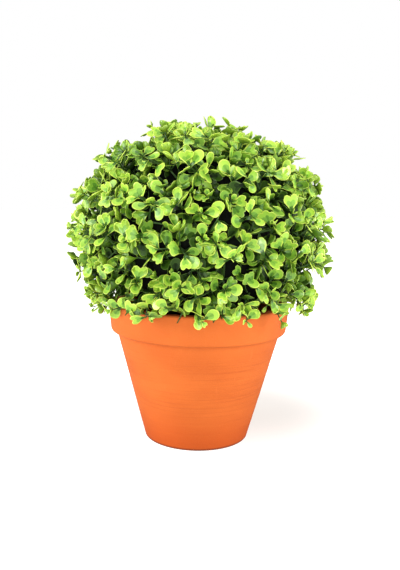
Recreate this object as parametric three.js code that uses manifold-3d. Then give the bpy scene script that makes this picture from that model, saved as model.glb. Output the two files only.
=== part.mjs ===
// An artificial box topiary ball in a clay pot: moulded sprigs pushed into a clipped ball,
// which a short stem holds in the filled pot.
// Millimetres, +Z up. The origin is the centre of the pot's underside.
import * as THREE from "three";
import { ConvexGeometry } from "three/addons/geometries/ConvexGeometry.js";
import { mergeVertices } from "three/addons/utils/BufferGeometryUtils.js";
import Module from "manifold-3d";

const wasm = await Module();
wasm.setup();

const CLEARANCE = 0.3; // between pieces that touch
const ROUND_SIDES = 60; // facets round the pot and its fill
const STEM_SIDES = 16;

// The pot: a plain thrown shape with a straight rim band.
const POT_HEIGHT = 99;
const RIM_TOP_RADIUS = 65;
const RIM_FOOT_RADIUS = 63.1; // the band narrows a little towards its lower edge
const RIM_DEPTH = 20;
const RIM_ROUNDING = 3.6; // of the band's lower edge
const LIP_ROUNDING = 1.6;
const RIM_WALL = 8;
const SHOULDER_RADIUS = 58.5; // of the body, straight under the band
const FOOT_RADIUS = 37.8;
const FOOT_ROUNDING = 1.5;
const BODY_WALL = 6.5;
const FLOOR_THICKNESS = 8;
const DRAIN_RADIUS = 6;

// The fill, and the socket in it that holds the stem.
const FILL_TOP = 74;
const WALL_CLEARANCE = 0.4; // measured level, between the fill and the sloping wall
const SOCKET_FLOOR = 38;

// The stem: a tapering peg with a low flare where it leaves the fill.
const STEM_FOOT_RADIUS = 6.4;
const STEM_TIP_RADIUS = 5.2;
const STEM_TOP = 81;
const FLARE_RADIUS = 8.2;
const FLARE_HEIGHT = 3.2;

// The clipped ball. Its reach is the furthest that a leaf's tip may stand from its centre.
const BALL_CENTRE = new THREE.Vector3(0, 0, 146);
const REACH_SIDE = 98;
const REACH_UP = 86;
const REACH_DOWN = 90;
const CORE_SIDE = 75;
const CORE_UP = 63;
const CORE_DOWN = 63;
const CORE_DETAIL = 3; // how often each face of the icosahedron is split

// The sprigs: each is a twig out of the core that forks, and each branch ends in a whorl.
const SPRIGS = 33;
const WHORLS = 100;
const LOWEST_SLOPE = -0.57; // height of the lowest of them on a ball of radius 1
const FIRST_BEARING = 2.27; // radians; where the spiral of sprigs starts round the ball
const GOLDEN_ANGLE = Math.PI * (3 - Math.sqrt(5));
const FORK_SHARE = 0.2; // of the way from the core to the reach
const TWIG_RADIUS = 3.2;
const TWIG_SINK = 5; // of a twig's root in the core
const BRANCH_RADIUS = 1.4;
const BRANCH_SINK = 1.6; // of a branch's root in its twig
const WHORL_DEPTH = 10.5; // of a branch's tip under the reach
const WHORL_SCATTER = 5;
const CROWN_SEED = 8;

// A whorl is two crossed pairs of leaves, larger than life. A leaf is a lens with ten faces.
const LEAF_LENGTH = 18;
const LENGTH_SCATTER = 4;
const LEAF_SIDES = { forward: 0.6, across: 0.44 }; // as shares of the leaf's length
const LEAF_SHOULDERS = { forward: 1, across: 0.26 };
const LEAF_CREST = 0.5;
const LEAF_THICKNESS = 1.2;
const LEAF_SINK = 0.3; // of its root past the middle of its branch
const LEAF_TILT = 1.15; // radians between a leaf and its branch
const TILT_SCATTER = 0.3;
const PAIR_DEPTHS = [1.2, 4.7]; // of the two pairs below the branch's tip
const RIM_GAP = 0.8; // between any leaf and the pot's rim

// Points on a quarter circle about (cx, cy), from one angle to another.
function quarter(cx, cy, radius, from, to, steps = 4) {
  return Array.from({ length: steps + 1 }, (_, i) => {
    const angle = from + ((to - from) * i) / steps;
    return [cx + radius * Math.cos(angle), cy + radius * Math.sin(angle)];
  });
}

// A profile of [radius, height] pairs turned about the upright axis.
function turned(profile, sides) {
  const points = profile.map(([radius, height]) => new THREE.Vector2(radius, height));
  return new THREE.LatheGeometry(points, sides).rotateX(Math.PI / 2);
}

// The body's outer radius at a height, on the straight line from foot to shoulder.
function bodyRadius(height) {
  const share = height / (POT_HEIGHT - RIM_DEPTH);
  return FOOT_RADIUS + (SHOULDER_RADIUS - FOOT_RADIUS) * share;
}

function potGeometry() {
  const bandFoot = POT_HEIGHT - RIM_DEPTH;
  const profile = [
    [DRAIN_RADIUS, 0],
    ...quarter(FOOT_RADIUS - FOOT_ROUNDING, FOOT_ROUNDING, FOOT_ROUNDING, -Math.PI / 2, 0, 3),
    [SHOULDER_RADIUS, bandFoot],
    ...quarter(RIM_FOOT_RADIUS - RIM_ROUNDING, bandFoot + RIM_ROUNDING, RIM_ROUNDING, -Math.PI / 2, 0),
    ...quarter(RIM_TOP_RADIUS - LIP_ROUNDING, POT_HEIGHT - LIP_ROUNDING, LIP_ROUNDING, 0, Math.PI / 2, 3),
    [RIM_TOP_RADIUS - RIM_WALL, POT_HEIGHT],
    [SHOULDER_RADIUS - BODY_WALL, bandFoot],
    [bodyRadius(FLOOR_THICKNESS) - BODY_WALL, FLOOR_THICKNESS],
    [DRAIN_RADIUS, FLOOR_THICKNESS],
    [DRAIN_RADIUS, 0],
  ];
  return turned(profile, ROUND_SIDES);
}

function fillGeometry() {
  const foot = FLOOR_THICKNESS + CLEARANCE;
  const wall = BODY_WALL + WALL_CLEARANCE;
  const socket = STEM_FOOT_RADIUS + CLEARANCE;
  return turned(
    [
      [0, foot],
      [bodyRadius(foot) - wall, foot],
      [bodyRadius(FILL_TOP) - wall, FILL_TOP],
      [socket, FILL_TOP],
      [socket, SOCKET_FLOOR],
      [0, SOCKET_FLOOR],
    ],
    ROUND_SIDES,
  );
}

function stemGeometry() {
  const flareFoot = FILL_TOP + CLEARANCE;
  return turned(
    [
      [0, SOCKET_FLOOR + CLEARANCE],
      [STEM_FOOT_RADIUS, SOCKET_FLOOR + CLEARANCE],
      [STEM_FOOT_RADIUS, flareFoot],
      [FLARE_RADIUS, flareFoot],
      [STEM_FOOT_RADIUS, flareFoot + FLARE_HEIGHT],
      [STEM_TIP_RADIUS, STEM_TOP],
      [0, STEM_TOP],
    ],
    STEM_SIDES,
  );
}

// A closed geometry as a solid that can be joined to others.
function solidOf(geometry) {
  geometry.deleteAttribute("normal");
  geometry.deleteAttribute("uv");
  const merged = mergeVertices(geometry, 1e-4);
  return new wasm.Manifold(
    new wasm.Mesh({
      numProp: 3,
      vertProperties: new Float32Array(merged.attributes.position.array),
      triVerts: new Uint32Array(merged.index.array),
    }),
  );
}

function geometryOf(solid) {
  const mesh = solid.getMesh();
  return new THREE.BufferGeometry()
    .setAttribute("position", new THREE.BufferAttribute(mesh.vertProperties, 3))
    .setIndex(new THREE.BufferAttribute(mesh.triVerts, 1));
}

// A seeded chance number about zero, so that the crown always grows alike.
function scatter(width) {
  return (THREE.MathUtils.seededRandom() - 0.5) * width;
}

// Directions spread evenly over a ball, from its top down to the lowest slope.
function spreadDirections(count) {
  return Array.from({ length: count }, (_, i) => {
    const height = 1 - ((i + 0.5) / count) * (1 - LOWEST_SLOPE);
    const level = Math.sqrt(1 - height * height);
    const bearing = FIRST_BEARING + i * GOLDEN_ANGLE;
    return new THREE.Vector3(level * Math.cos(bearing), level * Math.sin(bearing), height);
  });
}

// The distance from the ball's centre to an ellipsoid's surface along a direction.
function ellipsoidDistance(direction, side, up, down) {
  const upright = direction.z > 0 ? up : down;
  return 1 / Math.hypot(Math.hypot(direction.x, direction.y) / side, direction.z / upright);
}

const reachAlong = (direction) => ellipsoidDistance(direction, REACH_SIDE, REACH_UP, REACH_DOWN);
const coreAlong = (direction) => ellipsoidDistance(direction, CORE_SIDE, CORE_UP, CORE_DOWN);
const fromCentre = (direction, distance) => direction.clone().multiplyScalar(distance).add(BALL_CENTRE);

// A direction turned away from another by an angle, towards a bearing round it.
function leaning(direction, angle, bearing) {
  const helper = Math.abs(direction.z) < 0.9 ? new THREE.Vector3(0, 0, 1) : new THREE.Vector3(1, 0, 0);
  const first = new THREE.Vector3().crossVectors(helper, direction).normalize();
  const sideways = first.applyAxisAngle(direction, bearing);
  return direction.clone().multiplyScalar(Math.cos(angle)).addScaledVector(sideways, Math.sin(angle));
}

// A three-sided twig from one point to another.
function twig(from, to, radius) {
  const length = from.distanceTo(to);
  const upright = new THREE.Vector3(0, 1, 0);
  const turn = new THREE.Quaternion().setFromUnitVectors(upright, to.clone().sub(from).normalize());
  const prism = new THREE.CylinderGeometry(radius, radius, length, 3).translate(0, length / 2, 0);
  return solidOf(prism.applyQuaternion(turn).translate(from.x, from.y, from.z));
}

// The corners of a leaf: its root, the four of its round end, and the crests of its two sides.
function leafCorners(root, along, face, length) {
  const across = new THREE.Vector3().crossVectors(face, along);
  const place = (forward, sideways, lift) =>
    root
      .clone()
      .addScaledVector(along, forward)
      .addScaledVector(across, sideways)
      .addScaledVector(face, lift);
  return [
    place(-LEAF_SINK, 0, 0),
    ...[LEAF_SIDES, LEAF_SHOULDERS].flatMap(({ forward, across: width }) => [
      place(forward * length, width * length, 0),
      place(forward * length, -width * length, 0),
    ]),
    place(LEAF_CREST * length, 0, LEAF_THICKNESS / 2),
    place(LEAF_CREST * length, 0, -LEAF_THICKNESS / 2),
  ];
}

// Whether a leaf stays inside the reach, and all above the pot or all outside a bevel round its rim.
function isFree(corners) {
  const inReach = (corner) => {
    const offset = corner.clone().sub(BALL_CENTRE);
    return offset.length() <= reachAlong(offset.clone().normalize());
  };
  const aboveRim = (corner) => corner.z > POT_HEIGHT + RIM_GAP;
  const pastRim = (corner) =>
    Math.hypot(corner.x, corner.y) - RIM_TOP_RADIUS + (corner.z - POT_HEIGHT) > 2 * RIM_GAP;
  return corners.every(inReach) && (corners.every(aboveRim) || corners.every(pastRim));
}

// The leaves of a whorl that are free: two pairs on a branch, the lower one crossing the upper.
function whorlLeaves(tip, outwards) {
  const turn = scatter(Math.PI * 2);
  return PAIR_DEPTHS.flatMap((depth, pair) =>
    [0, 1].map((side) => {
      const bearing = turn + side * Math.PI + (pair * Math.PI) / 2;
      const along = leaning(outwards, LEAF_TILT + scatter(TILT_SCATTER), bearing);
      const face = outwards.clone().addScaledVector(along, -outwards.dot(along)).normalize();
      const root = tip.clone().addScaledVector(outwards, -depth);
      return leafCorners(root, along, face, LEAF_LENGTH + scatter(LENGTH_SCATTER));
    }),
  ).filter(isFree);
}

// The core: an ellipsoid with the end of the ball's own stem under it.
function coreSolids() {
  const core = new THREE.IcosahedronGeometry(1, CORE_DETAIL);
  const place = core.getAttribute("position");
  for (let i = 0; i < place.count; i += 1) {
    const upright = place.getZ(i) > 0 ? CORE_UP : CORE_DOWN;
    place.setXYZ(i, place.getX(i) * CORE_SIDE, place.getY(i) * CORE_SIDE, place.getZ(i) * upright);
  }
  const stub = turned(
    [
      [0, STEM_TOP + CLEARANCE],
      [STEM_TIP_RADIUS, STEM_TOP + CLEARANCE],
      [STEM_TIP_RADIUS, BALL_CENTRE.z],
      [0, BALL_CENTRE.z],
    ],
    STEM_SIDES,
  );
  return [solidOf(core.translate(0, 0, BALL_CENTRE.z)), solidOf(stub)];
}

// The sprigs: twigs that stand out of the core, and from the nearest fork a branch to each whorl.
function sprigSolids() {
  const twigs = spreadDirections(SPRIGS).map((direction) => {
    const core = coreAlong(direction);
    const fork = fromCentre(direction, core + (reachAlong(direction) - core) * FORK_SHARE);
    return { direction, fork, solid: twig(fromCentre(direction, core - TWIG_SINK), fork, TWIG_RADIUS) };
  });
  const whorls = spreadDirections(WHORLS).flatMap((direction) => {
    const nearest = twigs.reduce((a, b) => (b.direction.dot(direction) > a.direction.dot(direction) ? b : a));
    const root = nearest.fork.clone().addScaledVector(nearest.direction, -BRANCH_SINK);
    const tip = fromCentre(direction, reachAlong(direction) - WHORL_DEPTH - scatter(WHORL_SCATTER));
    const leaves = whorlLeaves(tip, tip.clone().sub(root).normalize());
    const solids = leaves.map((corners) => solidOf(new ConvexGeometry(corners)));
    return solids.length > 0 ? [twig(root, tip, BRANCH_RADIUS), ...solids] : [];
  });
  return [...twigs.map((sprig) => sprig.solid), ...whorls];
}

// One body of core, sprigs and leaves. Its largest piece leaves out loose scraps and sealed hollows.
function foliageGeometry() {
  THREE.MathUtils.seededRandom(CROWN_SEED);
  const joined = wasm.Manifold.union([...coreSolids(), ...sprigSolids()]);
  const pieces = joined.decompose().sort((a, b) => b.volume() - a.volume());
  return geometryOf(pieces[0]);
}

// A named mesh with its colour, roughness and metalness.
function piece(name, geometry, colour, roughness) {
  const material = new THREE.MeshStandardMaterial({ color: colour, roughness, metalness: 0 });
  const mesh = new THREE.Mesh(geometry, material);
  mesh.name = name;
  return mesh;
}

const topiary = new THREE.Group();
topiary.add(piece("pot", potGeometry(), 0xf5783a, 0.85));
topiary.add(piece("pot_fill", fillGeometry(), 0x2b2621, 0.95));
topiary.add(piece("stem", stemGeometry(), 0x4b3a28, 0.8));
topiary.add(piece("foliage_ball", foliageGeometry(), 0x8fc23c, 0.5));

export default topiary;
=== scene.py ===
# An artificial box topiary ball in a thrown clay pot: its looks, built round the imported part.
import math

import bmesh
import bpy
import numpy as np
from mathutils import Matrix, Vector


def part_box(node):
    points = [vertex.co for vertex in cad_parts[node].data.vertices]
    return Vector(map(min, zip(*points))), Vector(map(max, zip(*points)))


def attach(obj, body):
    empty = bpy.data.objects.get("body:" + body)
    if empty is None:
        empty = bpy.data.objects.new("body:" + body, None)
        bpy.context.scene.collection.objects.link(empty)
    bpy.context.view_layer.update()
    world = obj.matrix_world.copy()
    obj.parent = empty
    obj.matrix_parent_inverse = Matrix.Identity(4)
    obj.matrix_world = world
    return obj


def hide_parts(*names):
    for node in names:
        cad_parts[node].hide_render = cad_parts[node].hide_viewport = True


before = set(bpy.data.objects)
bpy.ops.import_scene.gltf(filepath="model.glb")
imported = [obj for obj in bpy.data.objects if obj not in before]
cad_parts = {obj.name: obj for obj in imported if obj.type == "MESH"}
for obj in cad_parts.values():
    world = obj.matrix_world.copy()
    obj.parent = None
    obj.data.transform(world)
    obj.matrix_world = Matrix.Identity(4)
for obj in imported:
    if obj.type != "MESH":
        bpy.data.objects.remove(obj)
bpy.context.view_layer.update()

# Everything below is worked out in millimetres and made metres in the meshes.
MM = 0.001
MEETING = 0.0001  # between corners that count as one
rng = np.random.default_rng(1)

# Places and sizes that come from the frame.
POT_HIGH = np.array(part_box("pot")[1]) / MM
FILL_LOW, FILL_HIGH = (np.array(corner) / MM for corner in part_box("pot_fill"))
PEG_LOW, PEG_HIGH = (np.array(corner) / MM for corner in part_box("stem"))
BALL_LOW, BALL_HIGH = (np.array(corner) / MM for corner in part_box("foliage_ball"))
POT_HEIGHT = POT_HIGH[2]
RIM_RADIUS = POT_HIGH[0]

# The pot.
RIM_FOOT_RADIUS = 63.3
RIM_DEPTH = 20.4
BAND_FOOT = POT_HEIGHT - RIM_DEPTH
RIM_ROUNDING = 2.4
LIP_ROUNDING = 1.7
INNER_LIP_ROUNDING = 1.5
RIM_WALL = 8
SHOULDER_RADIUS = 58.8
NECK_ROUNDING = 0.9  # of the hollow corner under the band
FOOT_RADIUS = 37.8
FOOT_ROUNDING = 0.7
BODY_WALL = 6.5
FLOOR_THICKNESS = 8
DRAIN_RADIUS = 6
DRAIN_BEVEL = 0.6
POT_COLUMNS = 168
WALL_STEP = 0.7  # between rows of the outer wall, fine enough for its throwing rings

# The throwing rings: each has its relief, its spacing up the wall, how often its phase turns about the
# axis, and how far, how often and from where the phase sways on the way round.
THROWING_RINGS = (
    (0.02, 4.1, 1, 0.8, 2, 0),
    (0.015, 2.7, -1, 1.1, 1, 1),
    (0.02, 9.7, 2, 0, 0, 0),
)

# Waves about an axis: each has its relief, how many go round, its twist for a millimetre of height and
# its phase.
OUT_OF_ROUND = ((0.08, 2, 1 / 40, 0), (0.05, 3, 0, 1.3))
PEG_GROOVES = ((0.16, 9, 0.05, 0), (0.1, 17, -0.08, 1))

# The fill and the peg.
PEG_CLEARANCE = 0.3  # of the peg over the socket's floor, and of its flare over the fill
SOCKET_FLOOR = PEG_LOW[2] - PEG_CLEARANCE
SOCKET_RADIUS = 6.7
FILL_GAP = 0.4  # between the fill and the pot's wall
FILL_FALL = 0.8  # of the fill's top from the socket out to the wall
FILL_COLUMNS = 96
CRUMB_MARGIN = 1.0  # round the socket that stays even, and half as much at the wall
CRUMB_DEPTH = 1.0  # under the top that counts as the top
CRUMB_DROP = 0.35
CRUMB_RELIEF = 0.16
PEG_RADIUS = 6.4
PEG_TRIM = 0.27  # off its radius, so that the ridges between the grooves stay inside it
PEG_TIP_RADIUS = 5.2
PEG_COLUMNS = 72
FLARE_RADIUS = PEG_HIGH[0]
FLARE_HEIGHT = 3.2
FLARE_EDGE = 0.6

# The ball, by the source's rule and within its reach, but for the little that the longest sprigs stand
# proud.
BALL_CENTRE = np.array([0, 0, 146.0])
BALL_DOWN = 90
PROUD = 2.6  # at its sides and below
PROUD_UP = 1.4
REACH_SIDE = (BALL_HIGH[0] - BALL_LOW[0] + BALL_HIGH[1] - BALL_LOW[1]) / 4 + PROUD
REACH_UP = BALL_HIGH[2] - BALL_CENTRE[2] + PROUD_UP
REACH_DOWN = BALL_DOWN + PROUD
ROUND_POWER = 2  # of an ellipsoid
SHOULDER_POWER = 2.2  # of the reach's upper half, which makes its shoulders fuller
LOWEST_SLOPE = -0.575
FIRST_BEARING = 2.27
GOLDEN_ANGLE = math.pi * (3 - math.sqrt(5))
STEEP = 0.9  # a direction's upright share, past which a level line helps to find what is square to it

# The black frame: its half sizes, its ribs and rings, how far and how suddenly they stand out, its seam
# and tube.
CORE_SIDE = 68
CORE_UP = 57
CORE_DOWN = 60
FRAME_RIBS = 28
FRAME_RINGS = 14  # in a whole turn of slope, so half of them from pole to pole
FRAME_RELIEF = 1.6
GRID_PER_BAR = 8  # columns of the mesh for each rib, and rows for half of each ring's spacing
BAR_STEEPNESS = 4.0
BAR_START = 2.6  # on a cosine times the steepness, under which no bar shows
SEAM_RELIEF = 0.8
SEAM_HALF_WIDTH = 0.012  # in radians of slope
TUBE_RADIUS = 5.2
TUBE_BEVEL = 0.6
TUBE_OVERLAP = 4  # of the tube with the frame
TUBE_COLUMNS = 40

# Twigs fork twice on their way out: this many forks, at this share of the way to the reach.
FORKS = ((52, 0.1), (190, 0.3))
TWIG_ROOT = 2  # that the first twigs start under the frame's surface
TWIG_BEND = 0.12  # outwards, as a share of a twig's length
TWIG_RADII = (1.2, 0.75, 0.5, 0.36)
WHORLS = 600
RIM_SPRIGS = 32  # more of them, that hang over the pot's rim all round
RIM_SLOPES = (-0.58, -0.47)
WHORL_DEPTHS = (5.0, 24.0)  # of the branch tips under the reach
DEPTH_POWER = 0.85  # on an even spread of depths: less than 1 sets the whorls deeper
DEPTH_STEP = 0.7548776662  # the plastic number's inverse, which leaves no pattern between neighbours
PLACE_SCATTER = 0.025
OUTWARD_SHARE = 0.7  # of straight out, added to the way that a twig points
LIFT_OF_SPRIGS = np.array([0, 0, 0.3])  # turns their tips a little upwards
SPRIG_ROOM = 5.5  # that a sprig's tip needs over the rim or outside it
LEAST_DEPTH = 5.0
LEAST_LEAVES = 2  # full-grown ones, that a sprig needs

# A whorl: crossed pairs of leaves down its branch, the pair at its tip small. Each pair has its depth
# under the tip, its lean from the branch, its size, its share of a turn about the branch and how often it
# grows.
PAIRS = (
    {"depth": 0.3, "lean": 0.7, "size": 0.45, "turn": 0.0, "often": 0.4},
    {"depth": 1.0, "lean": 1.15, "size": 1.0, "turn": 0.25, "often": 1.0},
    {"depth": 7.0, "lean": 1.25, "size": 1.05, "turn": 0.0, "often": 0.85},
)
LEAF_LENGTH = 11.0
LENGTHS = (0.8, 1.16)  # of single leaves, as shares of that
WIDTHS = (0.88, 1.1)
LIFTS = (-0.3, 1.0)  # how far they are cupped, or bent back where it is less than 0
TWIN_SHARE = 0.27  # how often a leaf has a twin beside it
TWIN_TURN = 0.48
PAIR_SCATTER = 0.22
TWIN_SCATTER = 0.08
LEAN_SCATTER = 0.4
TWIST_SCATTER = 0.45
RIM_GAP = 0.7  # that a leaf keeps from the pot

# The forms of leaf, in shares of a leaf's length: how common each is, its lobes, which are ellipses about
# a common root, each with its turn and its size, and the mesh's columns, which are rays at these shares
# of the widest one.
LEAF_FORMS = (
    {
        "share": 0.52,
        "lobes": ((0.0, 1.0),),
        "centre": 0.69,
        "half_width": 0.28,
        "columns": (0, 0.29, 0.57, 0.78, 0.92, 1),
    },
    {
        "share": 0.43,
        "lobes": ((-0.22, 1.0), (0.24, 0.95)),
        "centre": 0.7,
        "half_width": 0.19,
        "columns": (0, 0.13, 0.34, 0.6, 0.88, 1),
    },
    {
        "share": 0.05,
        "lobes": ((-0.33, 0.9), (0.0, 1.0), (0.34, 0.92)),
        "centre": 0.72,
        "half_width": 0.16,
        "columns": (0, 0.17, 0.3, 0.5, 0.88, 1),
    },
)
ROWS = np.array([0.4, 0.7, 0.95, 1])  # of its corners, in shares of the way from the root to the outline
STALK_WIDTH = 0.035
STALK_DRAW = 0.12  # of its turn that a ray keeps at the root, where the rays are drawn together
DRAW_END = 0.8  # of the way out, where a ray has its whole turn
DRAW_POWER = 1.3
CUP_ACROSS = 2.3
CUP_TIP = 1.1
TIP_START = 0.6
EDGE_START = 0.5  # of the way out, from where a leaf has an edge
EDGE_LIFT = 0.012
LEAF_THICKNESS = 0.28
KEEL_PLACE = 0.62  # along the leaf
KEEL_DEPTH = 0.15  # under the foot of the leaf's rim
KEEL_CUP = 0.05  # of its lift that a cupped leaf adds to that

# Leaf tints, which are lit and shaded copies of one plastic, darker with depth as painted shade: each has a
# colour for the stalk, the midrib, the blade's middle, its tip, the edge and the back. One gives way to the
# next at these depths under the reach, with some scatter.
LEAF_BANDS = ("base", "lower", "middle", "tip", "edge", "back")
LEAF_TINTS = {
    "young": ((51, 88, 14), (93, 139, 36), (111, 157, 46), (146, 184, 55), (183, 204, 74), (118, 150, 38)),
    "fresh": ((43, 77, 12), (79, 124, 31), (97, 143, 41), (131, 172, 50), (168, 191, 66), (103, 137, 34)),
    "green": ((28, 54, 5), (51, 88, 15), (67, 109, 22), (97, 138, 33), (132, 164, 47), (69, 104, 22)),
    "deep": ((9, 22, 2), (15, 32, 3), (25, 47, 6), (40, 67, 10), (61, 89, 18), (20, 39, 5)),
}
TINT_DEPTHS = (10.5, 15.0, 20.5)
TINT_SCATTER = 4.0
LEAST_GLOSS = 0.05
GLOSS_OF_TINT = 0.47  # that a bright tint adds
BRIGHT_GREEN = 160  # the green of a tint that has all of it

# The other colours, as the screen shows them, from 0 to 255.
# The stems' green is painted shade, darker than their own pale grey-green.
STEM_GREEN = (42, 68, 22)
FRAME_BLACK = (8, 11, 6)
CLAY = {
    "plain": (182, 88, 30),
    "dull_blotch": (176, 83, 27),
    "warm_blotch": (185, 91, 32),
    "line": (156, 68, 20),
    "scratch": (194, 101, 44),
    # Painted shade: a line under the band, darker towards the bottom and a contact shadow at the foot.
    "under_band": (158, 71, 21),
    "low": (174, 74, 18),
    "foot": (112, 46, 16),
}
LINE_SHARE = 0.4
SCRATCH_SHARE = 0.3
UNDER_BAND_SHARE = 0.33
SHADE_DEPTH = 3.6  # under the band's foot, where the shade starts
SHADE_EDGE = 0.6  # under the foot, where the shade is full, and over it, where it ends
FILLER = {"plain": (40, 34, 28), "dark": (20, 17, 14), "light": (58, 48, 38)}
PEG_WOOD = {"plain": (92, 68, 44), "dark": (70, 50, 32), "light": (120, 92, 62)}
PAPER = (226, 225, 224)
# The floor's painted shadow: the paper's colour and its glow to the camera near the shadow's centre.
PAPER_IN_SHADOW = (112, 111, 111)
GLOW = (255, 255, 255)
GLOW_IN_SHADOW = (226, 220, 214)

# The shared grain: the detail of its noise and the noise's levels that are smooth and rough.
GRAIN_DETAIL = 4
GRAIN_LEVELS = (0.3, 0.7)
GRAIN_HEIGHT = 0.3
PLAIN_GLOSS = 0.5

# The Mix node's colour sockets, whose names its other kinds of socket share.
FIRST_COLOUR, SECOND_COLOUR, MIXED_COLOUR = 6, 7, 2

# The studio: the floor, each light's place, side and power, and the white light all round.
FLOOR_HALF = 6000
FLOOR_CORNERS = 5  # along each side
FLOOR_DROP = 0.05  # under the pot's foot
# The floor's painted shadow: its centre, the distance within which it is full and that by which it has faded
# out.
SHADOW_CENTRE = (42, 55, 0)
SHADOW_START = 25
SHADOW_END = 180
LIGHTS = {
    "left_light": ((-1050, -260, 380), 550, 15),
    "right_light": ((1050, -240, 340), 550, 13.7),
    "front_light": ((-60, -1100, 150), 400, 11),
    "top_light": ((0, -300, 1100), 400, 4.5),
}
LIGHT_TARGET = (0, 0, 110)
BACKDROP_STRENGTH = 1.0
ROUND_LIGHT_STRENGTH = 0.5

# The camera: its place, how far it looks down and is turned, in degrees, and its lens.
CAMERA_PLACE = (0.5, -450, 173)
PITCH_DOWN = 7.9
ROLL = 1.3
SENSOR_SIZE = 36
FOCAL_PIXELS = 626
PICTURE_HEIGHT = 570


def linear(colour):
    """A screen colour from 0 to 255 as the linear colour that shaders read, by the screen's standard
    curve."""
    share = np.array(colour) / 255
    value = np.where(share <= 0.04045, share / 12.92, ((share + 0.055) / 1.055) ** 2.4)
    return (*value.tolist(), 1.0)


def mesh_piece(name, corners, quads, materials, bands=None):
    """A smooth object from corners in millimetres and quads. The bands are the quads' material indices."""
    quads = np.asarray(quads, np.int32)
    mesh = bpy.data.meshes.new(name)
    mesh.vertices.add(len(corners))
    mesh.vertices.foreach_set("co", (np.asarray(corners) * MM).astype(np.float32).ravel())
    mesh.loops.add(quads.size)
    mesh.loops.foreach_set("vertex_index", quads.ravel())
    mesh.polygons.add(len(quads))
    mesh.polygons.foreach_set("loop_start", np.arange(0, quads.size, 4, dtype=np.int32))
    if bands is not None:
        mesh.polygons.foreach_set("material_index", np.asarray(bands, np.int32))
    mesh.polygons.foreach_set("use_smooth", np.ones(len(quads), bool))
    for material in materials:
        mesh.materials.append(material)
    mesh.update(calc_edges=True)
    mesh.validate()
    piece = bpy.data.objects.new(name, mesh)
    bpy.context.scene.collection.objects.link(piece)
    return piece


def grid_quads(rows, columns, wrap_rows=False, wrap_columns=True):
    """Quads of a grid whose rows or columns may run round and meet."""
    row = np.arange(rows if wrap_rows else rows - 1)[:, None]
    column = np.arange(columns if wrap_columns else columns - 1)[None, :]
    next_row = (row + 1) % rows
    next_column = (column + 1) % columns
    corners = [
        row * columns + column,
        row * columns + next_column,
        next_row * columns + next_column,
        next_row * columns + column,
    ]
    return np.stack(corners, axis=-1).reshape(-1, 4)


def closed_piece(name, corners, columns, material):
    """A piece from a grid of corners that runs round in columns, where corners that meet at a pole are
    merged."""
    piece = mesh_piece(name, corners, grid_quads(len(corners) // columns, columns), [material])
    work = bmesh.new()
    work.from_mesh(piece.data)
    bmesh.ops.remove_doubles(work, verts=work.verts, dist=MEETING * MM)
    work.to_mesh(piece.data)
    work.free()
    return piece


def turned(profile, columns, relief=None):
    """A profile of (radius, height) turned about the upright axis: (r cos a, r sin a, z), where a relief
    of the angle, the height and the radius adds to the radius."""
    radius = profile[:, 0, None]
    height = profile[:, 1, None]
    angle = np.linspace(0, math.tau, columns, endpoint=False)[None, :]
    if relief is not None:
        radius = radius + relief(angle, height, radius)
    corners = [radius * np.cos(angle), radius * np.sin(angle), height + 0 * angle]
    return np.stack(corners, axis=-1).reshape(-1, 3)


def arc(cx, cy, radius, start, end, steps):
    """Points on a circle about (cx, cy) from one angle to another."""
    angle = np.linspace(start, end, steps)
    return np.stack([cx + radius * np.cos(angle), cy + radius * np.sin(angle)], axis=-1)


def straight(start, end, step):
    """Evenly spaced points between two, without the ends."""
    start, end = np.array(start, float), np.array(end, float)
    count = max(2, int(np.linalg.norm(end - start) / step))
    share = np.linspace(0, 1, count + 1)[1:-1, None]
    return start + (end - start) * share


def section(*parts):
    """A profile from its parts, which are lists of points."""
    return np.concatenate([np.array(part, float).reshape(-1, 2) for part in parts])


def fade(value, start, width):
    """0 up to the start, 1 from the width past it, and straight between them."""
    return np.clip((value - start) / width, 0, 1)


def waves(angle, height, kinds):
    """The sum of waves about an axis: relief times sin(count a + twist z + phase) for each kind."""
    return sum(
        relief * np.sin(count * angle + twist * height + phase) for relief, count, twist, phase in kinds
    )


# The pot, its fill and the peg


def body_radius(height):
    """The body's outer radius at a height: straight from the foot to the shoulder."""
    return FOOT_RADIUS + (SHOULDER_RADIUS - FOOT_RADIUS) * height / BAND_FOOT


def throwing_rings(angle, height, radius):
    """Shallow rings that climb slowly round the wall: waves in height whose phase turns and sways with
    the angle, fading at the foot, at the band and on the inside, and over all a wall that is slightly out
    of round."""
    outside = fade(radius - body_radius(height), start=-2.5, width=2.0)
    on_body = fade(height, start=0, width=8) * fade(BAND_FOOT - height, start=2, width=6)
    rings = sum(
        relief * np.sin(math.tau * height / spacing + turns * angle + sway * np.sin(sways * angle + phase))
        for relief, spacing, turns, sway, sways, phase in THROWING_RINGS
    )
    settled = fade(height, start=1, width=12)
    return outside * on_body * rings + settled * waves(angle, height, OUT_OF_ROUND)


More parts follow.
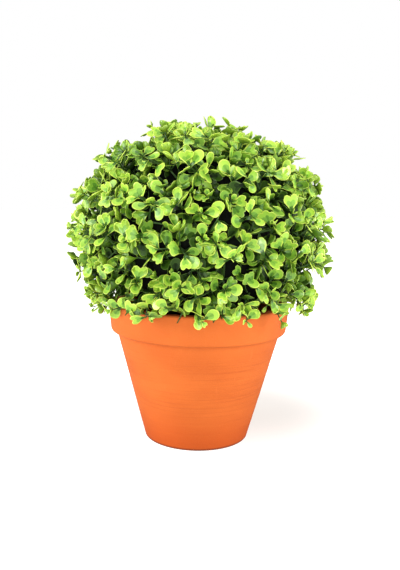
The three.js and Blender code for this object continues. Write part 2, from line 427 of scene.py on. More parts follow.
def pot_profile():
    """The pot's section as a closed line: foot, wall, band, lip, inside, floor and drain hole."""
    drain_edge = (DRAIN_RADIUS + DRAIN_BEVEL, 0)
    foot_arc = arc(FOOT_RADIUS - FOOT_ROUNDING, FOOT_ROUNDING, FOOT_ROUNDING, -math.pi / 2, 0, steps=7)
    neck_foot = BAND_FOOT - NECK_ROUNDING
    neck = arc(SHOULDER_RADIUS + NECK_ROUNDING, neck_foot, NECK_ROUNDING, math.pi, math.pi / 2, steps=4)
    band_low = BAND_FOOT + RIM_ROUNDING
    band_arc = arc(RIM_FOOT_RADIUS - RIM_ROUNDING, band_low, RIM_ROUNDING, -math.pi / 2, 0, steps=10)
    band_high = POT_HEIGHT - LIP_ROUNDING
    lip = arc(RIM_RADIUS - LIP_ROUNDING, band_high, LIP_ROUNDING, 0, math.pi / 2, steps=7)
    inner_rim = (RIM_RADIUS - RIM_WALL, POT_HEIGHT - INNER_LIP_ROUNDING)
    inner_lip_centre = inner_rim[0] + INNER_LIP_ROUNDING
    inner_lip = arc(inner_lip_centre, inner_rim[1], INNER_LIP_ROUNDING, math.pi / 2, math.pi, steps=6)
    inner_neck = (SHOULDER_RADIUS - BODY_WALL, BAND_FOOT)
    inner_floor = (body_radius(FLOOR_THICKNESS) - BODY_WALL, FLOOR_THICKNESS)
    return section(
        [drain_edge],
        straight(drain_edge, (FOOT_RADIUS - FOOT_ROUNDING, 0), step=5),
        foot_arc,
        straight((FOOT_RADIUS, FOOT_ROUNDING), neck[0], WALL_STEP),
        neck,
        band_arc[1:],
        straight((RIM_FOOT_RADIUS, band_low), (RIM_RADIUS, band_high), step=1.4),
        lip,
        inner_lip,
        straight(inner_rim, inner_neck, step=3),
        straight(inner_neck, inner_floor, step=4),
        [inner_floor],
        [(DRAIN_RADIUS, FLOOR_THICKNESS)],
        [(DRAIN_RADIUS, FLOOR_THICKNESS / 2)],
        [(DRAIN_RADIUS, DRAIN_BEVEL)],
    )


def make_pot():
    """The pot's section carried once round, with throwing rings on its wall."""
    profile = pot_profile()
    corners = turned(profile, POT_COLUMNS, throwing_rings)
    faces = grid_quads(len(profile), POT_COLUMNS, wrap_rows=True)
    return mesh_piece("clay_pot", corners, faces, [clay()])


def swaying_wave(along, across, pace, sway, sway_pace):
    """A wave along one way whose phase sways with the other: sin(pace x + sway sin(sway_pace y))."""
    return np.sin(along * pace + sway * np.sin(across * sway_pace))


def make_fill():
    """The fill's section with its socket turned about the axis, its top uneven by the sum of two waves."""
    wall = BODY_WALL + FILL_GAP
    foot, top = FILL_LOW[2], FILL_HIGH[2]
    outer_foot = (body_radius(foot) - wall, foot)
    outer_top = (body_radius(top) - wall, top - FILL_FALL)
    profile = section(
        [(0, foot), outer_foot],
        straight(outer_foot, outer_top, step=8),
        [outer_top],
        straight(outer_top, (SOCKET_RADIUS, top), step=1.6),
        [(SOCKET_RADIUS, top), (SOCKET_RADIUS, SOCKET_FLOOR), (0, SOCKET_FLOOR)],
    )
    corners = turned(profile, FILL_COLUMNS)
    x, y, z = corners.T
    from_axis = np.hypot(x, y)
    off_socket = from_axis > SOCKET_RADIUS + CRUMB_MARGIN
    off_wall = from_axis < outer_top[0] - CRUMB_MARGIN / 2
    on_top = (z > top - CRUMB_DEPTH) & off_socket & off_wall
    crumbs = swaying_wave(x, y, pace=0.9, sway=2, sway_pace=0.4)
    crumbs = crumbs + swaying_wave(y, x, pace=1.1, sway=1.7, sway_pace=0.5)
    corners[:, 2] -= on_top * (CRUMB_DROP + CRUMB_RELIEF * crumbs)
    return closed_piece("pot_filler", corners, FILL_COLUMNS, filler())


def peg_relief(angle, height, radius):
    """Grooves that run up the peg: waves round it whose phase drifts with the height, none at the poles."""
    on_side = np.clip(radius / PEG_RADIUS, 0, 1)
    return (waves(angle, height, PEG_GROOVES) - PEG_TRIM) * on_side


def make_peg():
    """A tapering peg with a low flare over the fill, turned about the axis and grooved."""
    flare = FILL_HIGH[2] + PEG_CLEARANCE
    flare_top = flare + FLARE_HEIGHT
    profile = section(
        [(0, PEG_LOW[2]), (PEG_RADIUS, PEG_LOW[2])],
        straight((PEG_RADIUS, PEG_LOW[2]), (PEG_RADIUS, flare), step=3),
        [(PEG_RADIUS, flare), (FLARE_RADIUS, flare)],
        arc(FLARE_RADIUS, flare_top, FLARE_HEIGHT - FLARE_EDGE, -math.pi / 2, -math.pi, steps=6),
        [(PEG_TIP_RADIUS, PEG_HIGH[2]), (0, PEG_HIGH[2])],
    )
    corners = turned(profile, PEG_COLUMNS, peg_relief)
    return closed_piece("ball_peg", corners, PEG_COLUMNS, peg_wood())


# The ball


def unit(vectors):
    """Vectors scaled to length one."""
    return vectors / np.linalg.norm(vectors, axis=-1, keepdims=True)


def directions_at(height, bearing):
    """Unit directions by their upright share and their bearing."""
    level = np.sqrt(1 - height**2)
    return np.stack([level * np.cos(bearing), level * np.sin(bearing), height], axis=-1)


def spread_directions(count):
    """Directions spread evenly over a ball on a golden spiral, from its top down to the lowest slope."""
    step = np.arange(count)
    height = 1 - (step + 0.5) / count * (1 - LOWEST_SLOPE)
    return directions_at(height, FIRST_BEARING + step * GOLDEN_ANGLE)


def rim_directions():
    """Directions evenly round the ball at slopes by chance that lead over the pot's rim."""
    return directions_at(rng.uniform(*RIM_SLOPES, RIM_SPRIGS), np.arange(RIM_SPRIGS) / RIM_SPRIGS * math.tau)


def share_out(offsets, side, up, down, upper_power=ROUND_POWER):
    """How far out each offset from the centre of a rounded body is, where its surface is at 1: the level
    and the height in shares of the half sizes, each to a power, added, and the root taken."""
    above = offsets[..., 2] > 0
    level = np.hypot(offsets[..., 0], offsets[..., 1]) / side
    height = np.abs(offsets[..., 2]) / np.where(above, up, down)
    power = np.where(above, upper_power, ROUND_POWER)
    return (level**power + height**power) ** (1 / power)


def reach_share(offsets):
    """How far out each offset from the ball's centre is, where the leaves may reach to 1."""
    return share_out(offsets, REACH_SIDE, REACH_UP, REACH_DOWN, SHOULDER_POWER)


def reach_along(directions):
    """How far the leaves may reach from the ball's centre along each direction."""
    return 1 / reach_share(directions)


def core_along(directions):
    """How far the frame's surface is from the ball's centre along each direction."""
    return 1 / share_out(directions, CORE_SIDE, CORE_UP, CORE_DOWN)


def from_centre(directions, distances):
    """Points at those distances from the ball's centre."""
    return BALL_CENTRE + directions * distances[:, None]


def square_to(directions):
    """Two unit vectors square to each direction and to each other."""
    steep = np.abs(directions[:, 2:3]) > STEEP
    helper = np.where(steep, [1.0, 0, 0], [0, 0, 1.0])
    first = unit(np.cross(helper, directions))
    return first, np.cross(directions, first)


def leaning(directions, angles, bearings):
    """Each direction turned away by an angle towards a bearing round it."""
    first, second = square_to(directions)
    sideways = first * np.cos(bearings)[:, None] + second * np.sin(bearings)[:, None]
    return directions * np.cos(angles)[:, None] + sideways * np.sin(angles)[:, None]


def tubes(starts, middles, ends, start_radii, end_radii, sides, rings):
    """Twigs as tapering tubes: a ring of sides carried along the curve (1-t)^2 start + 2t(1-t) middle +
    t^2 end, closed at both ends by a fan of quads, which needs an even number of sides. Returns corners
    and quads."""
    share = np.linspace(0, 1, rings)[None, :, None]
    path = (
        starts[:, None] * (1 - share) ** 2
        + middles[:, None] * 2 * share * (1 - share)
        + ends[:, None] * share**2
    )
    first, second = square_to(unit(ends - starts))
    angle = np.arange(sides) * math.tau / sides
    spokes = first[:, None] * np.cos(angle)[None, :, None] + second[:, None] * np.sin(angle)[None, :, None]
    radii = start_radii[:, None] + (end_radii - start_radii)[:, None] * share[0, :, 0]
    corners = path[:, :, None] + spokes[:, None] * radii[:, :, None, None]
    step = np.arange(0, sides - 2, 2)
    cap = np.stack([0 * step, step + 1, step + 2, step + 3], axis=-1)
    tube = np.concatenate([grid_quads(rings, sides), cap + (rings - 1) * sides, cap[:, ::-1]])
    faces = tube[None] + np.arange(len(starts))[:, None, None] * rings * sides
    return corners.reshape(-1, 3), faces.reshape(-1, 4)


def joined(meshes):
    """Corners and faces of several meshes as one."""
    corners, faces, count = [], [], 0
    for points, polygons in meshes:
        corners.append(points)
        faces.append(polygons + count)
        count += len(points)
    return np.concatenate(corners), np.concatenate(faces)


def nearest(directions, others):
    """For each direction, the index of the closest of the others."""
    return np.argmax(directions @ others.T, axis=1)


def past_rim(directions, distances):
    """The distances from the ball's centre, where a point too low to clear the rim's top moves out past its
    side."""
    level = np.hypot(directions[:, 0], directions[:, 1])
    drop = BALL_CENTRE[2] - POT_HEIGHT - SPRIG_ROOM
    too_low = -directions[:, 2] * distances > drop
    return np.where(too_low, np.maximum(distances, (RIM_RADIUS + SPRIG_ROOM) / level), distances)


def grow_twigs():
    """Twigs from the frame out through two rounds of forks to the whorls, each joined to the nearest fork
    below it. Returns for each round the twigs' starts, bends and ends, and the outward directions of the
    last."""
    rounds = []
    parent_directions, parents = None, None
    for count, share in FORKS:
        directions = spread_directions(count)
        core, reach = core_along(directions), reach_along(directions)
        if parents is None:
            starts = from_centre(directions, core - TWIG_ROOT)
        else:
            starts = parents[nearest(directions, parent_directions)]
        parent_directions, parents = directions, from_centre(directions, core + (reach - core) * share)
        rounds.append((starts, bent(starts, parents, directions), parents))
    directions, tips = whorl_places()
    starts = parents[nearest(directions, parent_directions)]
    rounds.append((starts, bent(starts, tips, directions), tips))
    return rounds, unit(unit(tips - starts) + OUTWARD_SHARE * directions + LIFT_OF_SPRIGS)


def bent(starts, ends, directions):
    """The middle points that bend twigs outwards."""
    return (starts + ends) / 2 + directions * np.linalg.norm(ends - starts, axis=1)[:, None] * TWIG_BEND


def whorl_places():
    """The directions and places of the whorls: spread over the ball at changing depths, and round the rim
    at the least depth. One that would have no room beside the rim is left out."""
    shallow, deepest = WHORL_DEPTHS
    depth = shallow + (deepest - shallow) * (np.arange(WHORLS) * DEPTH_STEP % 1) ** DEPTH_POWER
    depth = np.concatenate([depth, np.full(RIM_SPRIGS, LEAST_DEPTH)])
    directions = np.concatenate([spread_directions(WHORLS), rim_directions()])
    directions = unit(directions + rng.normal(0, PLACE_SCATTER, directions.shape))
    reach = reach_along(directions)
    distance = past_rim(directions, reach - depth)
    roomy = distance <= reach - LEAST_DEPTH
    return directions[roomy], from_centre(directions, distance)[roomy]


def twig_tubes(rounds):
    """The meshes of the twigs, thinner with each round."""
    meshes = []
    for level, (starts, bends, ends) in enumerate(rounds):
        radii = np.full(len(ends), TWIG_RADII[level]), np.full(len(ends), TWIG_RADII[level + 1])
        meshes.append(tubes(starts, bends, ends, *radii, sides=6, rings=5))
    return joined(meshes)


def lobe_reach(angle, turn, size, centre, half_width):
    """How far an ellipse, whose axis runs from the root at its turn, reaches along each ray from the
    root: the far root of the ray's quadratic, or the ray's closest point where it misses."""
    half_length = (1 - centre) * size
    ray_along, ray_across = np.cos(angle - turn), np.sin(angle - turn)
    square = (ray_along / half_length) ** 2 + (ray_across / half_width) ** 2
    cross = centre * size * ray_along / half_length**2
    inside = cross**2 - square * ((centre * size / half_length) ** 2 - 1)
    return (cross + np.sqrt(np.maximum(inside, 0))) / square


def leaf_surface(form):
    """A leaf's upper side: its root, and a grid of rows out to its outline and columns across. A column
    is a ray, drawn together towards the stalk; a row is a share of the way to the farthest lobe. The lift
    grows with the square of the distance from the nearest lobe's axis and with that of the way past the
    tip's start. Returns the corners' forward, sideways and lift."""
    lobes, centre, half_width = form["lobes"], form["centre"], form["half_width"]
    widest = math.atan(half_width / math.sqrt(centre**2 - (1 - centre) ** 2))
    share = np.array(form["columns"])
    share = np.concatenate([-share[:0:-1], share])[None, :]
    ray = share * (max(abs(turn) for turn, _ in lobes) + widest)
    row = ROWS[:, None]
    outline = np.max([lobe_reach(ray, turn, size, centre, half_width) for turn, size in lobes], axis=0)
    drawn = STALK_DRAW + (1 - STALK_DRAW) * np.clip(row / DRAW_END, 0, 1) ** DRAW_POWER
    forward = row * outline * np.cos(ray * drawn)
    sideways = row * outline * np.sin(ray * drawn) + STALK_WIDTH * share
    off_axes = [np.abs(sideways * math.cos(turn) - forward * math.sin(turn)) for turn, _ in lobes]
    past_start = np.maximum(forward - TIP_START, 0)
    is_edge = (row == 1) | (np.abs(share) == 1) & (row > EDGE_START)
    lift = CUP_ACROSS * np.min(off_axes, axis=0) ** 2 + CUP_TIP * past_start**2 + EDGE_LIFT * is_edge
    blade = np.stack([forward, sideways, lift], axis=-1).reshape(-1, 3)
    return np.concatenate([np.zeros((1, 3)), blade])


def leaf_grid():
    """The numbers of a leaf's upper corners after its root in their grid, and of those round its rim from
    the root, leftwards round from above."""
    columns = 2 * len(LEAF_FORMS[0]["columns"]) - 1
    grid = 1 + np.arange(ROWS.size * columns).reshape(ROWS.size, columns)
    return grid, np.concatenate([[0], grid[:-1, 0], grid[-1], grid[-2::-1, -1]])


def leaf_faces():
    """The quads of a leaf: its stalk's, which fan out from the root, its blade's, those of the wall down
    from its rim, and those of the under side, which close it to a keel."""
    grid, rim = leaf_grid()
    first = grid[0]
    stalk = np.stack([0 * first[:-2:2], first[:-2:2], first[1:-1:2], first[2::2]], axis=-1)
    blade = np.stack([grid[:-1, :-1], grid[1:, :-1], grid[1:, 1:], grid[:-1, 1:]], axis=-1)
    foot = grid.size + 1 + np.arange(rim.size)
    wall = np.stack([rim, foot, np.roll(foot, -1), np.roll(rim, -1)], axis=-1)
    keel = np.full(rim.size // 2, foot[-1] + 1)
    under = np.stack([np.roll(foot, -2)[::2], foot[1::2], foot[::2], keel], axis=-1)
    return stalk, blade.reshape(-1, 4), wall, under


def leaf_bands():
    """The band of colour of each face: the stalk's, the blade's row by row with a darker midrib and a
    bright edge round it, the wall's and the under side's."""
    stalk, blade, wall, under = leaf_faces()
    base, lower, middle, tip, edge, back = range(len(LEAF_BANDS))
    band_of_row = np.array([middle, tip, edge])
    rows = np.repeat(band_of_row[:, None], len(blade) // band_of_row.size, axis=1)
    rows[:, [0, -1]] = edge
    midrib = rows.shape[1] // 2
    rows[0, midrib - 1 : midrib + 1] = lower
    bands = [np.full(len(stalk), base), rows.ravel(), np.full(len(wall), edge), np.full(len(under), back)]
    return np.concatenate(bands)


def whorl_leaves(tips, outwards):
    """The pairs of leaves on every branch, where a leaf may have a twin beside it. Returns for each leaf
    its form, its whorl's number, its root, its axes (forward, sideways and up), and its length, width and
    lift."""
    groups = []
    count = len(tips)
    turn = rng.random(count) * math.tau
    shares = [form["share"] for form in LEAF_FORMS]
    for pair in PAIRS:
        present = rng.random(count) < pair["often"]
        for side in (0, 0.5):
            twins = rng.random(count) < TWIN_SHARE
            middle = turn + (pair["turn"] + side) * math.tau + rng.normal(0, PAIR_SCATTER, count)
            for mate in (-1, 1):
                form = rng.choice(len(LEAF_FORMS), count, p=shares)
                bearing = middle + mate * TWIN_TURN * twins + rng.normal(0, TWIN_SCATTER, count)
                along = leaning(outwards, pair["lean"] + rng.normal(0, LEAN_SCATTER, count), bearing)
                up = unit(outwards - along * np.sum(outwards * along, axis=1)[:, None])
                twist = rng.normal(0, TWIST_SCATTER, count)[:, None]
                up = up * np.cos(twist) + np.cross(along, up) * np.sin(twist)
                length = LEAF_LENGTH * pair["size"] * rng.uniform(*LENGTHS, count)
                width = length * rng.uniform(*WIDTHS, count)
                lift = length * rng.uniform(*LIFTS, count)
                axes = np.stack([along, np.cross(up, along), up], axis=1)
                scales = np.stack([length, width, lift], axis=-1)
                grown = present & (twins | (mate < 0))
                leaves = (form, np.arange(count), tips - outwards * pair["depth"], axes, scales)
                groups.append([part[grown] for part in leaves])
    return tuple(np.concatenate(parts) for parts in zip(*groups))


def is_free(corners):
    """Whether all corners of each leaf are inside the reach, and above the pot or past a bevel round its
    rim."""
    in_reach = np.all(reach_share(corners - BALL_CENTRE) <= 1, axis=1)
    radius = np.hypot(corners[..., 0], corners[..., 1])
    over = corners[..., 2] - POT_HEIGHT
    above = np.all(over > RIM_GAP, axis=1)
    outside = np.all(radius - RIM_RADIUS + over > 2 * RIM_GAP, axis=1)
    return in_reach & (above | outside)


def placed_leaves(surface, roots, axes, scales):
    """A leaf set at each root by its axes and scales, with the foot of its rim, and a keel under its
    middle that is deeper where it is more cupped, so that the under side stays under the upper one."""
    scaled = surface * scales[:, None, :]
    foot = scaled[:, leaf_grid()[1]] - (0, 0, LEAF_THICKNESS)
    keel = scales * (KEEL_PLACE, 0, 0)
    keel[:, 2] -= LEAF_THICKNESS + KEEL_DEPTH + KEEL_CUP * np.abs(scales[:, 2])
    scaled = np.concatenate([scaled, foot, keel[:, None]], axis=1)
    return roots[:, None, :] + np.einsum("nvk,nkc->nvc", scaled, axes)


def make_leaves(name, leaves):
    """One piece from the leaves of a tint, an array of each leaf's corners."""
    first = np.arange(len(leaves))[:, None, None] * leaves.shape[1]
    faces = (np.concatenate(leaf_faces())[None] + first).reshape(-1, 4)
    bands = np.tile(leaf_bands(), len(leaves))
    tints = zip(LEAF_BANDS, LEAF_TINTS[name])
    materials = [leaf_plastic(f"leaf_{name}_{band}", tint) for band, tint in tints]
    return mesh_piece(f"leaves_{name}", leaves.reshape(-1, 3), faces, materials, bands)


def make_foliage():
    """Twigs and leaves: copies of three forms of leaf, joined into one piece for each tint, darker with
    depth as painted shade. A whorl whose leaves have no room isn't grown."""
    rounds, outwards = grow_twigs()
    tips = rounds[-1][-1]
    form, whorl, roots, axes, scales = whorl_leaves(tips, outwards)
    surfaces = np.stack([leaf_surface(kind) for kind in LEAF_FORMS])
    leaves = placed_leaves(surfaces[form], roots, axes, scales)
    middles = leaves.mean(axis=1) - BALL_CENTRE
    depth = reach_along(unit(middles)) - np.linalg.norm(middles, axis=1)
    # Each leaf's tint paints its shade: the deeper under the reach, the darker.
    tint_of_leaf = np.digitize(depth + rng.normal(0, TINT_SCATTER, len(depth)), TINT_DEPTHS)
    free = is_free(leaves)
    grown = free & (scales[:, 0] > LEAF_LENGTH / 2)
    leafy = np.bincount(whorl[grown], minlength=len(tips)) >= LEAST_LEAVES
    free &= leafy[whorl]
    rounds[-1] = tuple(part[leafy] for part in rounds[-1])
    pieces = []
    for tint, name in enumerate(LEAF_TINTS):
        pieces.append(make_leaves(name, leaves[free & (tint_of_leaf == tint)]))
    pieces.append(mesh_piece("sprig_stems", *twig_tubes(rounds), [stem_plastic()]))
    return pieces


def lattice(around, slope):
    """How far the frame's bars stand out: a smooth ridge at every rib and every ring, full at the poles,
    where the ribs meet, and a seam at the middle."""
    rib = np.clip(np.cos(around * FRAME_RIBS) * BAR_STEEPNESS - BAR_START, 0, 1)
    ring = np.clip(np.cos(slope * FRAME_RINGS) * BAR_STEEPNESS - BAR_START, 0, 1)
    seam = np.clip(1 - np.abs(slope) / SEAM_HALF_WIDTH, 0, 1)
    bars = np.maximum(rib, ring)
    bars[[0, -1]] = 1
    return FRAME_RELIEF * bars + SEAM_RELIEF * seam


def make_ball_frame():
    """The black ball that the sprigs clip into: an ellipsoid on a grid of bearing and slope, with its bars
    raised."""
    columns, rows = GRID_PER_BAR * FRAME_RIBS, GRID_PER_BAR * FRAME_RINGS
    around = np.linspace(0, math.tau, columns, endpoint=False)[None, :]
    slope = np.linspace(-math.pi / 2, math.pi / 2, rows + 1)[:, None]
    level = np.cos(slope)
    directions = [level * np.cos(around), level * np.sin(around), np.sin(slope) + 0 * around]
    directions = np.stack(directions, axis=-1).reshape(-1, 3)
    relief = lattice(around, slope).ravel() - FRAME_RELIEF
    corners = from_centre(directions, core_along(directions) + relief)
    return closed_piece("ball_frame", corners, columns, black_plastic())


def make_frame_tube():
    """The tube in the frame's middle that holds the peg's tip, with bevelled ends: its section turned
    about the axis."""
    low, high = BALL_LOW[2], BALL_CENTRE[2] - CORE_DOWN + TUBE_OVERLAP
    bevelled = TUBE_RADIUS - TUBE_BEVEL
    profile = section(
        [(0, low), (bevelled, low), (TUBE_RADIUS, low + TUBE_BEVEL)],
        [(TUBE_RADIUS, high - TUBE_BEVEL), (bevelled, high), (0, high)],
    )
    return closed_piece("frame_tube", turned(profile, TUBE_COLUMNS), TUBE_COLUMNS, black_plastic())


# Materials


def set_inputs(tree, node, inputs):
    """Links a node's inputs to sockets or sets them to values."""
    for label, value in inputs.items():
        if isinstance(value, bpy.types.NodeSocket):
            tree.links.new(value, node.inputs[label])
        else:
            node.inputs[label].default_value = value


def add_node(tree, kind, inputs):
    """A new shader node with its inputs linked or set."""
    node = tree.nodes.new("ShaderNode" + kind)
    set_inputs(tree, node, inputs)
    return node


def object_place(tree):
    """The socket that gives object coordinates."""
    return tree.nodes.new("ShaderNodeTexCoord").outputs["Object"]


def grain_group():
    """Fine grain that every finish has: noise on object coordinates, as a roughness and as a height."""
    if "surface_grain" in bpy.data.node_groups:
        return bpy.data.node_groups["surface_grain"]
    group = bpy.data.node_groups.new("surface_grain", "ShaderNodeTree")
    for label, value in (("Scale", 900.0), ("Smooth", 0.4), ("Rough", 0.6)):
        socket = group.interface.new_socket(label, in_out="INPUT", socket_type="NodeSocketFloat")
        socket.default_value = value
    for label in ("Roughness", "Height"):
        group.interface.new_socket(label, in_out="OUTPUT", socket_type="NodeSocketFloat")
    given = group.nodes.new("NodeGroupInput").outputs
    place = object_place(group)
    noise = add_node(group, "TexNoise", {"Vector": place, "Scale": given["Scale"], "Detail": GRAIN_DETAIL})
    levels = {"Value": noise.outputs["Fac"], "From Min": GRAIN_LEVELS[0], "From Max": GRAIN_LEVELS[1]}
    spread = add_node(group, "MapRange", levels | {"To Min": given["Smooth"], "To Max": given["Rough"]})
    result = group.nodes.new("NodeGroupOutput")
    set_inputs(group, result, {"Roughness": spread.outputs["Result"], "Height": noise.outputs["Fac"]})
    return group


def bump_node(tree, height, strength, distance):
    """A Bump node that reads a height, with its distance in millimetres."""
    return add_node(tree, "Bump", {"Strength": strength, "Distance": distance * MM, "Height": height})


def grained(name, colour, scale, smooth, rough, bump, gloss=PLAIN_GLOSS):
    """A material with one plain colour and the shared grain in its roughness and bump.
    Returns the material, its shader and the grain's Bump node."""
    material = bpy.data.materials.new(name)
    material.use_nodes = True
    tree = material.node_tree
    grain = tree.nodes.new("ShaderNodeGroup")
    grain.node_tree = grain_group()
    set_inputs(tree, grain, {"Scale": scale, "Smooth": smooth, "Rough": rough})
    relief = bump_node(tree, grain.outputs["Height"], bump, GRAIN_HEIGHT)
    shader = tree.nodes["Principled BSDF"]
    finish = {
        "Base Color": linear(colour),
        "Specular IOR Level": gloss,
        "Roughness": grain.outputs["Roughness"],
        "Normal": relief.outputs["Normal"],
    }
    set_inputs(tree, shader, finish)
    return material, shader, relief


def leaf_plastic(name, colour):
    """Soft moulded plastic of one tint, slightly uneven in its gloss, and duller where the tint is
    darker."""
    gloss = LEAST_GLOSS + GLOSS_OF_TINT * min(colour[1] / BRIGHT_GREEN, 1)
    return grained(name, colour, scale=420, smooth=0.28, rough=0.52, bump=0.25, gloss=gloss)[0]


def stem_plastic():
    """The dull green plastic of the sprigs' stems, darkened from its own pale grey-green by painted shade.
    """
    return grained("stem_plastic", STEM_GREEN, scale=600, smooth=0.4, rough=0.6, bump=0.3, gloss=0.25)[0]


def black_plastic():
    """The frame's black plastic."""
    name = "black_plastic"
    if name in bpy.data.materials:
        return bpy.data.materials[name]
    return grained(name, FRAME_BLACK, scale=500, smooth=0.7, rough=0.95, bump=0.3, gloss=0.08)[0]


def noise_mask(tree, low, high, scale, stretch=(1, 1, 1), detail=5):
    """A mask from 0 to 1 between two levels of noise on object coordinates, which a stretch of less than
    1 draws out along an axis."""
    mapping = add_node(tree, "Mapping", {"Vector": object_place(tree), "Scale": stretch})
    place = mapping.outputs["Vector"]
    noise = add_node(tree, "TexNoise", {"Vector": place, "Scale": scale, "Detail": detail})
    levels = {"Value": noise.outputs["Fac"], "From Min": low, "From Max": high}
    return add_node(tree, "MapRange", levels).outputs["Result"]


def smooth_mask(tree, value, zero_at, one_at):
    """A mask that is 0 where a value is at one length in millimetres and 1 at another, and smooth between
    them."""
    levels = {"Value": value, "From Min": zero_at * MM, "From Max": one_at * MM}
    between = add_node(tree, "MapRange", levels)
    between.interpolation_type = "SMOOTHSTEP"
    return between.outputs["Result"]


def height_mask(tree, zero_at, one_at):
    """A smooth mask between two heights in millimetres."""
    parts = add_node(tree, "SeparateXYZ", {"Vector": object_place(tree)})
    return smooth_mask(tree, parts.outputs["Z"], zero_at, one_at)


def mixed(tree, mask, first, second):
    """Two colours mixed by a mask. Each is a screen colour or another mix's output."""
    mix = tree.nodes.new("ShaderNodeMix")
    mix.data_type = "RGBA"
    first, second = (linear(colour) if isinstance(colour, tuple) else colour for colour in (first, second))
    set_inputs(tree, mix, {"Factor": mask, FIRST_COLOUR: first, SECOND_COLOUR: second})
    return mix.outputs[MIXED_COLOUR]


def product(tree, *masks):
    """Masks or numbers multiplied together."""
    result = masks[0]
    for mask in masks[1:]:
        times = add_node(tree, "Math", {0: result, 1: mask})
        times.operation = "MULTIPLY"
        result = times.outputs["Value"]
    return result


def throwing_lines(tree):
    """A mask of fine level lines in patches on the middle of the wall."""
    above_foot = height_mask(tree, zero_at=14, one_at=34)
    below_band = height_mask(tree, zero_at=78, one_at=62)
    on_wall = product(tree, above_foot, below_band)
    patches = noise_mask(tree, low=0.3, high=0.62, scale=45, stretch=(0.6, 0.6, 1.2))
    lines = noise_mask(tree, low=0.52, high=0.66, scale=60, stretch=(0.3, 0.3, 20), detail=2)
    return product(tree, lines, patches, on_wall)


def under_band_shade(tree):
    """A mask of the line of shade just under the pot's band."""
    rising = height_mask(tree, BAND_FOOT - SHADE_DEPTH, BAND_FOOT - SHADE_EDGE)
    falling = height_mask(tree, BAND_FOOT + SHADE_EDGE, BAND_FOOT)
    return product(tree, rising, falling, UNDER_BAND_SHARE)


def clay():
    """Unglazed orange clay: soft blotches, level lines from throwing, a few upright scratches, and painted
    shade: a line under the band, darker towards the bottom and a contact shadow at the foot. The lines and
    the grain are in its relief."""
    material, shader, grain_relief = grained(
        "clay", CLAY["plain"], scale=1500, smooth=0.72, rough=0.9, bump=0.35, gloss=0.25
    )
    tree = material.node_tree
    blotches = noise_mask(tree, low=0.35, high=0.65, scale=34, stretch=(0.7, 0.7, 1.2))
    lines = throwing_lines(tree)
    scratches = noise_mask(tree, low=0.68, high=0.74, scale=90, stretch=(3, 3, 0.2), detail=2)
    colour = CLAY["dull_blotch"]
    for name, mask in (
        ("warm_blotch", blotches),
        ("line", product(tree, lines, LINE_SHARE)),
        ("scratch", product(tree, scratches, SCRATCH_SHARE)),
        # Painted shade: a line under the band, darker towards the bottom and a contact shadow at the foot.
        ("under_band", under_band_shade(tree)),
        ("low", height_mask(tree, zero_at=34, one_at=2)),
        ("foot", height_mask(tree, zero_at=2.2, one_at=0.4)),
    ):
        colour = mixed(tree, mask, colour, CLAY[name])
    set_inputs(tree, shader, {"Base Color": colour})
    relief = bump_node(tree, lines, strength=0.35, distance=0.2)
    relief.invert = True
    set_inputs(tree, grain_relief, {"Normal": relief.outputs["Normal"]})
    return material


def mottled(name, colours, patch_scale, patch_stretch=(1, 1, 1), **finish):
    """A grained material whose dark and light colours give way to each other in patches of noise."""
    material, shader, _ = grained(name, colours["plain"], **finish)
    tree = material.node_tree
    patches = noise_mask(tree, low=0.32, high=0.68, scale=patch_scale, stretch=patch_stretch)
    set_inputs(tree, shader, {"Base Color": mixed(tree, patches, colours["dark"], colours["light"])})
    return material


def filler():
    """The dark, crumbly fill."""
    return mottled("filler", FILLER, patch_scale=260, scale=700, smooth=0.85, rough=1.0, bump=0.9)


def peg_wood():
    """Dark wood with its grain up the peg."""
    return mottled(
        "peg_wood",
        PEG_WOOD,
        patch_scale=160,
        patch_stretch=(1, 1, 0.12),
        scale=500,
        smooth=0.6,
        rough=0.8,
        bump=0.5,
    )


def paper_white():
    """The floor's matt paper, with a painted soft shadow on the right of the pot, where it is greyer and
    glows less. Elsewhere it glows white to the camera, which is painted light."""
    material, shader, _ = grained("paper_white", PAPER, scale=40, smooth=0.9, rough=1.0, bump=0.0)
    tree = material.node_tree
    centre = [length * MM for length in SHADOW_CENTRE]
    distance = add_node(tree, "VectorMath", {0: object_place(tree), 1: centre})
    distance.operation = "DISTANCE"
    away = smooth_mask(tree, distance.outputs["Value"], SHADOW_START, SHADOW_END)
    looks = {
        "Base Color": mixed(tree, away, PAPER_IN_SHADOW, PAPER),
        "Emission Color": mixed(tree, away, GLOW_IN_SHADOW, GLOW),
        "Emission Strength": tree.nodes.new("ShaderNodeLightPath").outputs["Is Camera Ray"],
    }
    set_inputs(tree, shader, looks)
    return material


# The studio


def make_floor():
    """A level white floor far larger than the view: a grid with its middle under the pot."""
    reach = np.linspace(-FLOOR_HALF, FLOOR_HALF, FLOOR_CORNERS)
    x, y = np.meshgrid(reach, reach)
    corners = np.stack([x, y, 0 * x - FLOOR_DROP], axis=-1).reshape(-1, 3)
    faces = grid_quads(FLOOR_CORNERS, FLOOR_CORNERS, wrap_columns=False)
    floor = mesh_piece("studio_floor", corners, faces, [paper_white()])


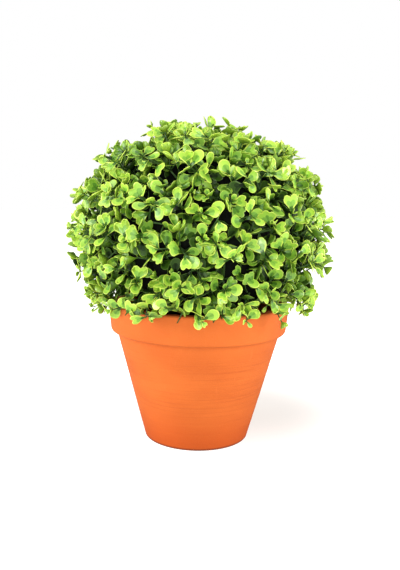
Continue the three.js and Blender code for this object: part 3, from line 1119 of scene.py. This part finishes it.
def area_light(name, place, size, power):
    """A soft square light at a place in millimetres, turned to the ball."""
    lamp = bpy.data.lights.new(name, "AREA")
    lamp.shape = "SQUARE"
    lamp.size = size * MM
    lamp.energy = power
    holder = bpy.data.objects.new(name, lamp)
    bpy.context.scene.collection.objects.link(holder)
    holder.location = Vector(place) * MM
    holder.rotation_euler = (Vector(LIGHT_TARGET) - Vector(place)).to_track_quat("-Z", "Y").to_euler()


def make_lights():
    """Soft lights from both sides, the front and above, and white light all round, which the camera sees
    as a brighter white behind the floor."""
    world = bpy.data.worlds.new("studio")
    bpy.context.scene.world = world
    world.use_nodes = True
    tree = world.node_tree
    white = linear(GLOW)
    backdrop = tree.nodes["Background"]
    set_inputs(tree, backdrop, {"Color": white, "Strength": BACKDROP_STRENGTH})
    around = add_node(tree, "Background", {"Color": white, "Strength": ROUND_LIGHT_STRENGTH})
    seen = tree.nodes.new("ShaderNodeLightPath").outputs["Is Camera Ray"]
    both = {"Fac": seen, 1: around.outputs["Background"], 2: backdrop.outputs["Background"]}
    mix = add_node(tree, "MixShader", both)
    set_inputs(tree, tree.nodes["World Output"], {"Surface": mix.outputs["Shader"]})
    for name, (place, size, power) in LIGHTS.items():
        area_light(name, place, size, power)


def make_camera():
    """The photo's view: from the front and a little above, with the picture turned slightly."""
    lens = bpy.data.cameras.new("camera")
    lens.sensor_width = SENSOR_SIZE
    lens.lens = FOCAL_PIXELS * SENSOR_SIZE / PICTURE_HEIGHT
    camera = bpy.data.objects.new("camera", lens)
    bpy.context.scene.collection.objects.link(camera)
    camera.location = [length * MM for length in CAMERA_PLACE]
    camera.rotation_euler = (math.radians(90 - PITCH_DOWN), 0, 0)
    camera.rotation_euler.rotate_axis("Z", math.radians(ROLL))
    bpy.context.scene.camera = camera


def build():
    """Makes every piece, puts it on the part's root body and hides the node that it stands for."""
    for piece, node, slot in (
        (make_pot(), "pot", "clay"),
        (make_fill(), "pot_fill", "filler"),
        (make_peg(), "stem", "stem"),
        (make_ball_frame(), "foliage_ball", "foliage"),
        (make_frame_tube(), "foliage_ball", "foliage"),
        *((leaves, "foliage_ball", "foliage") for leaves in make_foliage()),
    ):
        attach(piece, "root")
        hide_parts(node)


bpy.context.scene.view_settings.view_transform = "Standard"
build()
make_floor()
make_lights()
make_camera()
